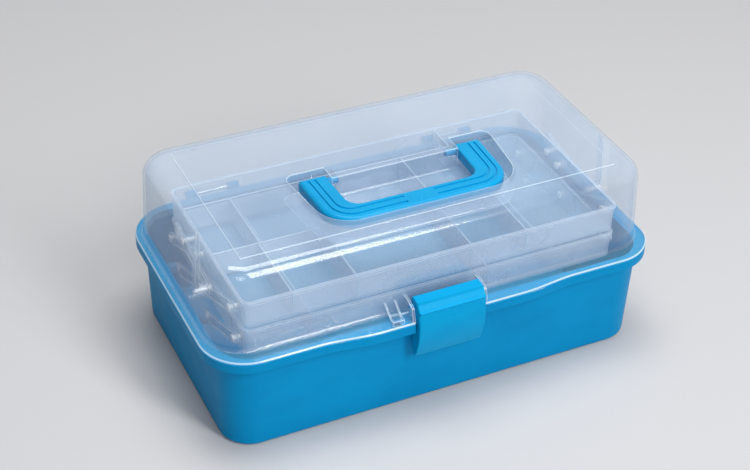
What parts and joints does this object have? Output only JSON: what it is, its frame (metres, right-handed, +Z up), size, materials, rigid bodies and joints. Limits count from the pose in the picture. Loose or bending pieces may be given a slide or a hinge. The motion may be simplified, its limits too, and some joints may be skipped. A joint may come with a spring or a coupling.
{
  "type": "cantilever tray box",
  "caption": "Clear-lidded plastic craft box whose divided trays rise on side levers as the hinged lid opens, with a fold-down carry handle and a front latch.",
  "frame": {"origin": "centre of the base box's flat underside", "axes": "+X along the length to the right, +Y from the latch to the hinge side, +Z up"},
  "size_m": [0.3286, 0.2041, 0.1364],
  "materials": {
    "base_blue": "satin moulded",
    "handle_blue": "satin moulded",
    "latch_blue": "satin moulded",
    "clear_lid": "clear with a milky cast",
    "clear_tray": "clear with a milky cast",
    "clear_lever": "clear with a milky cast",
    "rivet_white": "satin moulded",
    "pin_steel": "drawn wire"
  },
  "bodies": {
    "base": {"base_box": "base_blue", "base_rivets": "rivet_white", "hinge_pin_left": "pin_steel", "hinge_pin_right": "pin_steel"},
    "lid": {"lid": "clear_lid", "lid_link_rivets": "rivet_white"},
    "handle": {"handle": "handle_blue"},
    "latch": {"latch": "latch_blue"},
    "long_levers": {"long_lever_left": "clear_lever", "long_lever_right": "clear_lever"},
    "front_levers": {"front_lever_left": "clear_lever", "front_lever_right": "clear_lever"},
    "rear_levers": {"rear_lever_left": "clear_lever", "rear_lever_right": "clear_lever"},
    "lower_tray": {"lower_tray": "clear_tray", "lower_tray_rivets": "rivet_white"},
    "upper_tray": {"upper_tray": "clear_tray", "upper_tray_rivets": "rivet_white", "link_tray_rivets": "rivet_white"},
    "lid_links": {"lid_link_left": "clear_lever", "lid_link_right": "clear_lever"}
  },
  "joints": [
    {"name": "lid_hinge", "type": "hinge", "parent": "base", "child": "lid", "pos_m": [0, 0.0985, 0.0746], "axis": [-1, 0, 0], "range_deg": [0, 105]},
    {"name": "handle_fold", "type": "hinge", "parent": "lid", "child": "handle", "pos_m": [0, 0.0005, 0.13], "axis": [-1, 0, 0], "range_deg": [0, 90]},
    {"name": "latch_flip", "type": "hinge", "parent": "lid", "child": "latch", "pos_m": [0, -0.0915, 0.0845], "axis": [-1, 0, 0], "range_deg": [0, 100]},
    {"name": "long_lever_swing", "type": "hinge", "parent": "base", "child": "long_levers", "pos_m": [0, 0.05, 0.051], "axis": [-1, 0, 0], "range_deg": [0, 52]},
    {"name": "front_lever_swing", "type": "hinge", "parent": "base", "child": "front_levers", "pos_m": [0, -0.008, 0.051], "axis": [-1, 0, 0], "range_deg": [0, 52]},
    {"name": "lower_tray_level", "type": "hinge", "parent": "long_levers", "child": "lower_tray", "pos_m": [0, -0.004, 0.073], "axis": [-1, 0, 0], "range_deg": [-52, 0]},
    {"name": "upper_tray_level", "type": "hinge", "parent": "long_levers", "child": "upper_tray", "pos_m": [0, -0.058, 0.095], "axis": [-1, 0, 0], "range_deg": [-52, 0]},
    {"name": "rear_lever_swing", "type": "hinge", "parent": "lower_tray", "child": "rear_levers", "pos_m": [0, 0.0582, 0.0715], "axis": [-1, 0, 0], "range_deg": [0, 52]},
    {"name": "lid_link_swing", "type": "hinge", "parent": "lid", "child": "lid_links", "pos_m": [0, -0.027, 0.0893], "axis": [-1, 0, 0], "range_deg": [0, 56.5]}
  ],
  "couplings": [
    {"joint": "long_lever_swing", "follows": "lid_hinge", "ratio": 0.49},
    {"joint": "front_lever_swing", "follows": "lid_hinge", "ratio": 0.49},
    {"joint": "lower_tray_level", "follows": "lid_hinge", "ratio": -0.49},
    {"joint": "upper_tray_level", "follows": "lid_hinge", "ratio": -0.49},
    {"joint": "rear_lever_swing", "follows": "lid_hinge", "ratio": 0.49},
    {"joint": "lid_link_swing", "follows": "lid_hinge", "ratio": 0.532}
  ]
}
